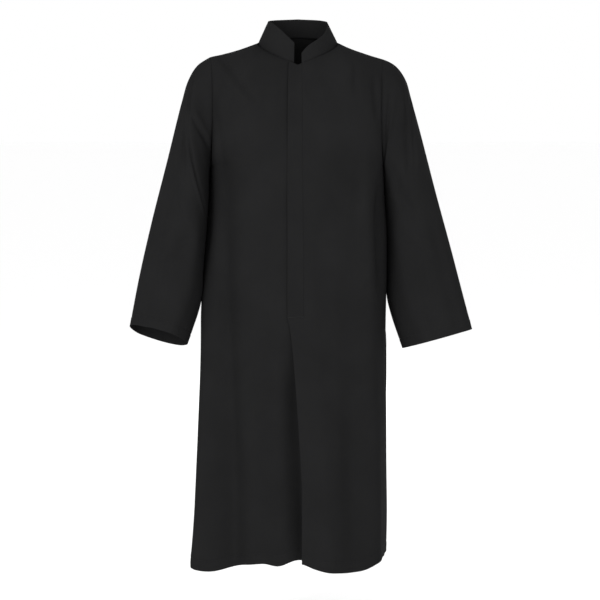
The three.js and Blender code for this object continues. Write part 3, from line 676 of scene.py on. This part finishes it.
def sleeve_grid(side):
    """Rows from the cuff up to the armhole, whose points are the panels' own."""
    sign = SIDE_SIGN[side]
    rises = YOKE_RISES
    edge = np.full(rises.shape, sign * 90.0)
    front, back = body_point("front", edge, 1 + rises), body_point("back", edge, 1 + rises)
    rim = np.concatenate([front, back[-2:0:-1]])
    rim_turn = np.degrees(np.concatenate([armhole_turn(rises), 2 * math.pi - armhole_turn(rises[-2:0:-1])]))
    bands = 1 - np.array(BAND_ROWS) / SLEEVE_FLAT["length"]
    above = np.linspace(bands[-1] ** (1 / SLEEVE_ROW_POWER), 0, STEPS["sleeve"]) ** SLEEVE_ROW_POWER
    way, turn = np.meshgrid(np.concatenate([bands[:-1], above]), rim_turn, indexing="ij")
    point, facing = sleeve_ring(side, way, turn)
    start, _ = sleeve_ring(side, np.zeros_like(way), turn)
    point = point + (rim[None] - start) * (1 - smooth(way / SLEEVE_START))[..., None]
    point = point + facing * sleeve_fold(side, way, turn)[..., None]
    point[-1] = rim
    return (point, way, turn) if side == "left" else (point[:, ::-1], way[:, ::-1], turn[:, ::-1])


# ---- The collar ----

def collar_grid(left_front, back, right_front):
    """Rows from the neckline, whose points are the panels' own, up to the collar's edge."""
    lap, neck, shoulder = STEPS["lap"], STEPS["neck"], STEPS["shoulder"]
    foot = np.concatenate([
        left_front[-1, lap:lap + neck + 1],
        back[-1, shoulder + 1:shoulder + 2 * neck + 1],
        right_front[-1, shoulder + 1:shoulder + neck + 1],
    ])
    way = np.concatenate([np.linspace(0, 2, 2 * neck + 1), np.linspace(2, 0, 2 * neck + 1)[1:]])
    on_left = np.arange(len(way)) <= 2 * neck
    narrow = along(COLLAR_EDGE, "way", "narrow", way)
    left, right = along(COLLAR_EDGE, "way", "left", way), along(COLLAR_EDGE, "way", "right", way)
    y = NECK_SIDE["y"] + (foot[:, 1] - NECK_SIDE["y"]) * mix(1, narrow, COLLAR_LEAN)
    edge = stack(foot[:, 0] * narrow, y, np.where(on_left, left, right))
    share = np.linspace(0, 1, STEPS["collar"] + 1)[:, None, None]
    return mix(foot[None], edge[None], share)


def placket_grid(left_front, normals):
    """The fly's strip lies on the left front's lap, from the fly's end up to the neckline."""
    first = int(np.argmax(ROW_Z > FLY_END_Z))
    lap = STEPS["lap"] + 1
    rise = np.full((len(BODY_ROWS) - first, lap, 1), STRIP_RISE)
    rise[:, -1] = rise[0] = STRIP_SEWN_RISE
    strip = left_front[first:, :lap] + normals[first:, :lap] * rise
    strip[:, 0] = mix(strip[:, 0], strip[:, 1], STRIP_INSET["edge"])
    strip[-1] = mix(strip[-1], strip[-2], STRIP_INSET["top"])
    return strip


def pocket_grid(side, front, normals):
    """A pocket's bag behind the front: its back layer runs in from the side seam, turns and comes back."""
    inside = (ROW_Z < POCKET["top"]) & (ROW_Z > POCKET["bottom"])
    inwards = slice(None, None, -1 if side == "left" else 1)
    width = STEPS["pocket"] + 1
    columns, facing = front[inside, inwards][:, :width], normals[inside, inwards][:, :width]
    bulge = np.sin(math.pi * np.arange(len(columns)) / (len(columns) - 1))
    parting = mix(POCKET["pressed"], POCKET["parting"], bulge)[:, None, None]
    near = POCKET["set_in"]
    far = near + 2 * POCKET_SHELL + parting
    turn = columns[:, -1:] - facing[:, -1:] * (near + far) / 2
    turn = turn + unit(columns[:, -1:] - columns[:, -2:-1]) * POCKET_SHELL * 2
    bag = np.concatenate([columns - facing * far, turn, (columns - facing * near)[:, ::-1]], axis=1)
    return bag if side == "left" else bag[:, ::-1]


# ---- Grids: directions, distances and heights ----

def grid_normals(points, closed=False):
    """The way that a grid faces at each of its points."""
    if closed:
        across = np.roll(points, -1, axis=1) - np.roll(points, 1, axis=1)
    else:
        across = np.gradient(points, axis=1)
    return unit(np.cross(across, np.gradient(points, axis=0)))


def border_loops(rows, width, closed):
    """The border's places in order, anticlockwise as seen from outside."""
    if closed:
        return [[(0, c) for c in range(width)], [(rows - 1, c) for c in range(width - 1, -1, -1)]]
    loop = [(0, c) for c in range(width - 1)] + [(r, width - 1) for r in range(rows - 1)]
    loop += [(rows - 1, c) for c in range(width - 1, 0, -1)] + [(r, 0) for r in range(rows - 1, 0, -1)]
    return [loop]


def shared_normals(grids):
    """The way each piece faces. Pieces that are sewn together face the same way along their seam."""
    normals = {name: grid_normals(points, name in ROUND_PIECES) for name, points in grids.items()}
    places = []
    for name, points in grids.items():
        loops = border_loops(*points.shape[:2], name in ROUND_PIECES)
        places += [(name, r, c) for r, c in sorted(set().union(*loops))]
    tree = KDTree(len(places))
    for i, (name, r, c) in enumerate(places):
        tree.insert(Vector(grids[name][r, c]), i)
    tree.balance()
    own = [normals[name][r, c].copy() for name, r, c in places]
    for i, (name, r, c) in enumerate(places):
        together = tree.find_range(Vector(grids[name][r, c]), SAME_PLACE)
        normals[name][r, c] = unit(sum(own[k] for _, k, _ in together))
    return normals


def run_from(points, edge):
    """How far each point of a grid is from one of its edges, measured along its own row or column."""
    axis = 0 if edge in ("bottom", "top") else 1
    from_end = edge in ("top", "last")
    steps = np.linalg.norm(np.diff(np.flip(points, axis) if from_end else points, axis=axis), axis=-1)
    run = np.concatenate([np.zeros_like(steps.take([0], axis)), np.cumsum(steps, axis)], axis)
    return np.flip(run, axis) if from_end else run


def crease_heights(u, v, creases, places, scale=(1, 1)):
    """Troughs from one place to another, each with a soft ridge on one side and ends that run out.

    The places are named columns of the creases' table, and the scale makes them millimetres.
    """
    height = np.zeros(u.shape)
    for crease in creases:
        u0, v0, u1, v1 = (crease[place] * size for place, size in zip(places.split(), scale * 2))
        run_u, run_v = u1 - u0, v1 - v0
        length = math.hypot(run_u, run_v)
        way = ((u - u0) * run_u + (v - v0) * run_v) / length**2
        off = ((u - u0) * run_v - (v - v0) * run_u) / length
        width = crease["width"]
        off = off + CREASE["waver"] * width * np.sin(way * CREASE["waves"] + u0)
        ends = smooth(way * CREASE["ends"]) * smooth((1 - way) * CREASE["ends"])
        ridge = bell(off - crease["lean"] * CREASE["ridge_place"] * width, CREASE["ridge_width"] * width)
        height += crease["depth"] * ends * (CREASE["ridge"] * ridge - bell(off, width))
    return height


def unevenness(u, v, seed):
    """The slight unevenness of hanging cloth, laid out in millimetres across and down it."""
    dice = random.Random(seed)
    height = np.zeros(u.shape)
    for _ in range(UNEVEN["waves"]):
        across = dice.uniform(*UNEVEN["across"])
        down = dice.uniform(*UNEVEN["down"]) * dice.choice((-1, 1))
        phase = dice.uniform(0, 2 * math.pi)
        height += np.sin(2 * math.pi * (u / across + v / down) + phase)
    return height * UNEVEN["height"] / math.sqrt(UNEVEN["waves"])


def groove_depth(distance, groove):
    return groove["depth"] * bell(distance, groove["width"])


def band_heights(edge_run, along_edge, band, seed):
    """A turned band's height with its sunk row of stitches, and the slight puckers beside that row."""
    dice = random.Random(seed)
    pucker = np.zeros(along_edge.shape)
    for _ in range(PUCKER["waves"]):
        pitch, phase = dice.uniform(*PUCKER["pitch"]), dice.uniform(0, PUCKER["phase"])
        pucker += np.sin(2 * math.pi * along_edge / pitch + phase) / PUCKER["waves"]
    turned = TURNED["height"] * smooth((band - edge_run) / TURNED["edge"])
    from_row = edge_run - band
    pucker = PUCKER["height"] * pucker * bell(from_row, PUCKER["width"])
    return turned - groove_depth(from_row, BAND_GROOVE), pucker


# ---- Meshes ----

def away_from_edges(points, closed, seams):
    """How far a seam's points draw back from it, and which way a free edge's points face."""
    draw_back, fold = np.zeros_like(points), np.zeros_like(points)
    every = slice(None)
    edges = {"bottom": ((0, every), (1, every)), "top": ((-1, every), (-2, every))}
    if not closed:
        edges["first"] = ((every, 0), (every, 1))
        edges["last"] = ((every, -1), (every, -2))
    for edge, (place, beside) in edges.items():
        outwards = unit(points[place] - points[beside])
        if edge in seams:
            draw_back[place] -= outwards * SEAM / 2
        else:
            fold[place] += outwards
    return draw_back, fold


def add_shell(name, points, normals, thickness, closed=False, seams=()):
    """A closed thin shell whose outer face is the grid, with a rounded rim at its free edges."""
    rows, width = points.shape[:2]
    draw_back, fold = away_from_edges(points, closed, seams)
    outer = points + draw_back
    inner = outer - normals * thickness
    middle = ((outer + inner) / 2 + fold * thickness * RIM_ROUND).reshape(-1, 3)
    index = np.arange(rows * width).reshape(rows, width)
    right = np.roll(index, -1, axis=1) if closed else index[:, 1:]
    left = index if closed else index[:, :-1]
    sheet = np.stack([left[:-1], right[:-1], right[1:], left[1:]], axis=-1).reshape(-1, 4)
    flat = flat_places(points)
    corners = [outer.reshape(-1, 3), inner.reshape(-1, 3)]
    places = [flat, flat]
    faces = [sheet, sheet[:, ::-1] + rows * width]
    count = 2 * rows * width
    for loop in border_loops(rows, width, closed):
        here = index[tuple(np.array(loop).T)]
        rim = count + np.arange(len(loop))
        after, rim_after = np.roll(here, -1), np.roll(rim, -1)
        corners.append(middle[here])
        places.append(flat[here])
        faces.append(np.stack([after, here, rim, rim_after], axis=-1))
        faces.append(np.stack([rim_after, rim, here + rows * width, after + rows * width], axis=-1))
        count += len(loop)
    return add_mesh(name, np.concatenate(corners), np.concatenate(faces), np.concatenate(places))


def flat_places(points):
    """Where each point of a grid lies on its flat cloth, in metres: across and along the grain."""
    across, up = run_from(points, "first") * MM, run_from(points, "bottom") * MM
    return np.stack([across - across.mean(axis=1, keepdims=True), up], axis=-1).reshape(-1, 2)


def add_mesh(name, corners, faces, flat):
    mesh = bpy.data.meshes.new(name)
    mesh.from_pydata((corners * MM).tolist(), [], faces.tolist())
    mesh.polygons.foreach_set("use_smooth", np.ones(len(mesh.polygons), bool))
    layer = mesh.uv_layers.new(name="weave")
    order = np.empty(len(mesh.loops), dtype=np.int32)
    mesh.loops.foreach_get("vertex_index", order)
    layer.data.foreach_set("uv", flat[order].ravel())
    mesh.update()
    piece = bpy.data.objects.new(name, mesh)
    bpy.context.collection.objects.link(piece)
    return piece


# ---- Stitches ----

def between(places, run, values):
    """The values at places on a line, between those of its own points."""
    return np.stack([np.interp(places, run, values[:, k]) for k in range(3)], axis=1)


def line_at(points, normals, edge, distance):
    """The line on a grid that runs a distance in from one of its edges."""
    run = run_from(points, edge)
    if edge in ("first", "last"):
        run, points, normals = run.T, points.transpose(1, 0, 2), normals.transpose(1, 0, 2)
    if edge in ("top", "last"):
        run, points, normals = run[::-1], points[::-1], normals[::-1]
    columns = range(run.shape[1])
    line = np.concatenate([between([distance], run[:, c], points[:, c]) for c in columns])
    facing = np.concatenate([between([distance], run[:, c], normals[:, c]) for c in columns])
    return line, unit(facing)


def stitches_on(line, facing, stitch=STITCH, across=False):
    """One small flat bar of thread for each stitch along a line, laid along it or across it."""
    run = np.concatenate([[0], np.cumsum(np.linalg.norm(np.diff(line, axis=0), axis=1))])
    places = np.arange(stitch["pitch"] / 2, run[-1] - stitch["pitch"] / 2, stitch["pitch"])
    centre = between(places, run, line)
    up = unit(between(places, run, facing))
    forward = unit(between(places + STITCH_AHEAD, run, line) - centre)
    side = unit(np.cross(up, forward))
    if across:
        forward, side = side, forward
    corners = []
    for share, lift in STITCH_PROFILE:
        middle = centre + forward * share * stitch["length"]
        for beside in (-0.5, 0.5):
            corners.append(middle + side * beside * stitch["width"] + up * lift)
    first = np.arange(len(places))[:, None, None] * len(corners)
    return np.stack(corners, axis=1).reshape(-1, 3), (STITCH_FACES[None] + first).reshape(-1, 4)


def add_stitching(name, rows):
    corners, faces, count = [], [], 0
    for row_corners, row_faces in rows:
        corners.append(row_corners)
        faces.append(row_faces + count)
        count += len(row_corners)
    corners = np.concatenate(corners)
    piece = add_mesh(name, corners, np.concatenate(faces), corners[:, [0, 2]] * MM)
    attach(piece, "root")
    piece.data.materials.append(MATERIALS["thread"])
    return piece


# ---- Materials ----

def wire(tree, from_node, from_socket, to_node, to_socket):
    tree.links.new(from_node.outputs[from_socket], to_node.inputs[to_socket])


def set_inputs(node, values):
    for name, value in values.items():
        node.inputs[name].default_value = value


def add_node(tree, kind, inputs, **settings):
    node = tree.nodes.new(kind)
    for name, value in settings.items():
        setattr(node, name, value)
    set_inputs(node, inputs)
    return node


def twill_bump(tree, flat, thread, strength):
    """Fine diagonal ribs across the cloth, with a finer cross thread, as a bump."""
    slant = (0, 0, math.radians(TWILL["slant_deg"]))
    turned = add_node(tree, "ShaderNodeMapping", {"Rotation": slant})
    wire(tree, flat, "UV", turned, "Vector")
    scale = 2 * math.pi / (WAVE_RADIANS * thread)
    bands = {"wave_type": "BANDS", "bands_direction": "X"}
    rib = add_node(tree, "ShaderNodeTexWave", {"Scale": scale, "Distortion": TWILL["waver"]}, **bands)
    wire(tree, turned, "Vector", rib, "Vector")
    bands["bands_direction"] = "Y"
    cross = add_node(tree, "ShaderNodeTexWave", {"Scale": scale / TWILL["cross_pitch"]}, **bands)
    wire(tree, flat, "UV", cross, "Vector")
    both = add_node(tree, "ShaderNodeMath", {1: TWILL["cross_share"]}, operation="MULTIPLY_ADD")
    wire(tree, cross, "Fac", both, 0)
    wire(tree, rib, "Fac", both, 2)
    bump = add_node(tree, "ShaderNodeBump", {"Strength": strength, "Distance": TWILL["height"]})
    wire(tree, both, "Value", bump, "Height")
    return bump


def new_material(name):
    """A material with nodes, its node tree and its shader."""
    material = bpy.data.materials.new(name)
    material.use_nodes = True
    return material, material.node_tree, material.node_tree.nodes["Principled BSDF"]


def cloth_material(name, look):
    material, tree, shader = new_material(name)
    flat = add_node(tree, "ShaderNodeUVMap", {}, uv_map="weave")
    patches = add_node(tree, "ShaderNodeTexNoise", PATCHES)
    wire(tree, flat, "UV", patches, "Vector")
    shades = {"A": (*look["dark"], 1), "B": (*look["light"], 1)}
    shade = add_node(tree, "ShaderNodeMix", shades, data_type="RGBA")
    wire(tree, patches, "Fac", shade, "Factor")
    wire(tree, shade, "Result", shader, "Base Color")
    set_inputs(shader, {
        "Roughness": look["roughness"],
        "Specular IOR Level": look["specular"],
        "Sheen Weight": look["sheen"],
        "Sheen Roughness": SHEEN["roughness"],
        "Sheen Tint": SHEEN["tint"],
    })
    wire(tree, twill_bump(tree, flat, look["thread"], look["bump"]), "Normal", shader, "Normal")
    return material


def plain_material(name, look):
    material, _, shader = new_material(name)
    set_inputs(shader, {
        "Base Color": (*look["colour"], 1),
        "Roughness": look["roughness"],
        "Specular IOR Level": PLAIN_SPECULAR,
    })
    return material


# ---- The studio ----

def add_studio():
    """A wide pale floor in a white room, under soft lights."""
    mesh = bpy.data.meshes.new("floor")
    signs = ((-1, -1), (1, -1), (1, 1), (-1, 1))
    mesh.from_pydata([(x * FLOOR_REACH, y * FLOOR_REACH, FLOOR_Z * MM) for x, y in signs], [], [(0, 1, 2, 3)])
    mesh.materials.append(plain_material("paper", PAPER))
    floor = bpy.data.objects.new("floor", mesh)
    bpy.context.collection.objects.link(floor)
    for light in LIGHTS:
        add_light(light)
    world = bpy.data.worlds.new("studio")
    bpy.context.scene.world = world
    world.use_nodes = True
    set_inputs(world.node_tree.nodes["Background"], {"Color": (1, 1, 1, 1), "Strength": WORLD_STRENGTH})
    bpy.context.scene.view_settings.view_transform = "Standard"


def add_light(light):
    lamp = bpy.data.lights.new(light["name"], "AREA")
    lamp.energy = light["power"]
    lamp.shape = "RECTANGLE"
    lamp.size, lamp.size_y = light["size"]
    piece = bpy.data.objects.new(light["name"], lamp)
    piece.location = light["at"]
    towards = Vector(LIGHTS_AIM) - Vector(light["at"])
    piece.rotation_euler = towards.to_track_quat("-Z", "Y").to_euler()
    bpy.context.collection.objects.link(piece)


# ---- The robe ----

def build_grids():
    """The points of each piece, and where each point of a sleeve lies along it and round it."""
    grids, layout = {}, {}
    for side in ("left", "right"):
        grids[f"front_{side}"] = front_grid(side)
        grids[f"sleeve_{side}"], *layout[f"sleeve_{side}"] = sleeve_grid(side)
    grids["back"] = back_grid()
    grids["collar"] = collar_grid(grids["front_left"], grids["back"], grids["front_right"])
    return grids, layout


def settled(name, points, loose, firm, calm, sink):
    """Loose forms run out before a seam and where pieces touch, and the cloth sinks down to a seam."""
    run = np.min([run_from(points, edge) for edge in SEAMS[name]], axis=0)
    return loose * smooth(run / SEAM_FADE) * (1 - calm) + firm - sink * bell(run, SEAM_SOFT)


def under_arm(points):
    """How near each point is to where a sleeve hangs against the body."""
    beside = smooth((np.abs(points[..., 0]) - UNDER_ARM["x"]) / UNDER_ARM["x_fade"])
    level = smooth((UNDER_ARM["y"] - np.abs(points[..., 1])) / UNDER_ARM["y_fade"])
    return beside * level * smooth((points[..., 2] - UNDER_ARM["z"]) / UNDER_ARM["z_fade"])


def panel_heights(name, points, creases):
    """How far each point of a front or of the back stands out from the plain form."""
    x, y, z = np.moveaxis(points, -1, 0)
    loose = crease_heights(x, z, creases, "x z to_x to_z") + unevenness(x, z, name)
    band, pucker = band_heights(run_from(points, "bottom"), x, HEM_BAND, name)
    if name != "back":
        side = run_from(points, "last" if name == "front_left" else "first")
        loose -= groove_depth(side - MOUTH_STITCH_INSET, MOUTH_GROOVE) * mouth_lift(z) / MOUTH_LIFT
    near_neck = smooth((NEAR_NECK["reach"] - np.hypot(x, y)) / NEAR_NECK["fade"]) * (z > NEAR_NECK["lowest"])
    sink = mix(SEAM_SINK, NECK_SINK, near_neck)
    return settled(name, points, loose + pucker, band, under_arm(points), sink)


def sleeve_heights(name, points, way, turn, creases):
    """The same for a sleeve, whose way and turn are laid out flat in millimetres."""
    cosine = np.cos(np.radians(turn))
    scale = (SLEEVE_FLAT["per_degree"], SLEEVE_FLAT["length"])
    across, down = turn * scale[0], way * scale[1]
    loose = crease_heights(across, down, creases, "turn way to_turn to_way", scale)
    loose = loose + unevenness(across + SLEEVE_SWAY * cosine, down, name)
    band, pucker = band_heights(run_from(points, "bottom"), across, CUFF_BAND, name)
    inner_side = smooth((cosine - INNER_SIDE["cosine"]) / INNER_SIDE["fade"])
    inner_side = inner_side * smooth((INNER_SIDE["way"] - way) / INNER_SIDE["way_fade"])
    return settled(name, points, loose + pucker, band, inner_side, SEAM_SINK)


def collar_heights(points):
    from_row = run_from(points, "top") - COLLAR_STITCH_INSET
    return -groove_depth(from_row, COLLAR_GROOVE) - NECK_SINK * bell(run_from(points, "bottom"), SEAM_SOFT)


def all_heights(grids, layout):
    heights = {}
    for side in ("left", "right"):
        front, sleeve = f"front_{side}", f"sleeve_{side}"
        heights[front] = panel_heights(front, grids[front], FRONT_CREASES)
        heights[sleeve] = sleeve_heights(sleeve, grids[sleeve], *layout[sleeve], SLEEVE_CREASES[side])
    heights["back"] = panel_heights("back", grids["back"], BACK_CREASES)
    heights["collar"] = collar_heights(grids["collar"])
    return heights


def finish_piece(piece, node, slot):
    piece.data.materials.append(MATERIALS[slot])
    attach(piece, "root")
    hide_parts(node)


def build_robe():
    grids, layout = build_grids()
    normals = shared_normals(grids)
    heights = all_heights(grids, layout)
    surface = {name: grids[name] + normals[name] * heights[name][..., None] for name in grids}
    facing = shared_normals(surface)
    strip = placket_grid(surface["front_left"], facing["front_left"])
    stitching = add_all_stitching(surface, facing, strip)
    for name, points in surface.items():
        thickness = COLLAR_SHELL if name == "collar" else SHELL
        slot = "collar_cloth" if name == "collar" else "cloth"
        piece = add_shell(name + "_cloth", points, facing[name], thickness, name in ROUND_PIECES, SEAMS[name])
        finish_piece(piece, name, slot)
    piece = add_shell("placket_cloth", strip, grid_normals(strip), STRIP_SHELL)
    finish_piece(piece, "placket", "cloth")
    for side in ("left", "right"):
        bag = pocket_grid(side, surface[f"front_{side}"], facing[f"front_{side}"])
        piece = add_shell(f"pocket_{side}_cloth", bag, grid_normals(bag), POCKET_SHELL)
        finish_piece(piece, f"pocket_{side}", "pocketing")


def add_all_stitching(surface, facing, strip):
    """The rows of stitches, and the bar of close stitches across the fly's lower end."""
    rows = {}
    for name in ("front_left", "front_right", "back", "sleeve_left", "sleeve_right"):
        band = CUFF_BAND if name in ROUND_PIECES else HEM_BAND
        rows[name] = [stitches_on(*line_at(surface[name], facing[name], "bottom", band))]
    rows["collar"] = [stitches_on(*line_at(surface["collar"], facing["collar"], "top", COLLAR_STITCH_INSET))]
    strip_facing = grid_normals(strip)
    rows["placket"] = [
        stitches_on(*line_at(strip, strip_facing, "last", FLY_STITCH_INSET)),
        stitches_on(*line_at(strip, strip_facing, "bottom", TACK_INSET), TACK, across=True),
    ]
    under_top = ROW_Z < POCKET["mouth_top"] + MOUTH_STITCH_PAST
    at_mouth = under_top & (ROW_Z > POCKET["mouth_bottom"] - MOUTH_STITCH_PAST)
    for side, edge in (("left", "last"), ("right", "first")):
        name = f"front_{side}"
        line, line_facing = line_at(surface[name], facing[name], edge, MOUTH_STITCH_INSET)
        rows[name].append(stitches_on(line[at_mouth], line_facing[at_mouth]))
    return {name: (add_stitching(f"{name}_stitches", parts),) for name, parts in rows.items()}


add_camera()
add_studio()
MATERIALS = {name: cloth_material(name, look) for name, look in LOOKS.items()}
MATERIALS["thread"] = plain_material("thread", THREAD)
build_robe()
